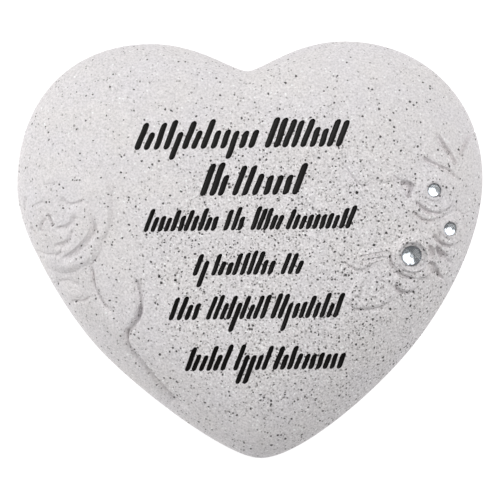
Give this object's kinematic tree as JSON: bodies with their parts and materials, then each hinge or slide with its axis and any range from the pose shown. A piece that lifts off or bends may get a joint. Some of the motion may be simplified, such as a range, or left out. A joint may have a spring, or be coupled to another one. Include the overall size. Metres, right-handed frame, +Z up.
{
  "type": "heart-shaped memorial stone",
  "caption": "Heart-shaped graveside stone of cast resin with a low-relief rose, a spray of small flowers set with rhinestones, and rows of short engraved strokes.",
  "frame": {"origin": "middle of the heart's outline, on the ground under its flat back", "axes": "+Z up out of the carved face, +X across the two lobes towards the spray of small flowers, +Y from the tip of the heart towards its notch"},
  "size_m": [0.1699, 0.1519, 0.042],
  "materials": {
    "cast_stone": "matte",
    "rhinestone_glass": "gloss"
  },
  "bodies": {
    "root": {"heart_stone": "cast_stone", "rhinestone_large": "rhinestone_glass", "rhinestone_upper": "rhinestone_glass", "rhinestone_side": "rhinestone_glass"}
  },
  "joints": []
}
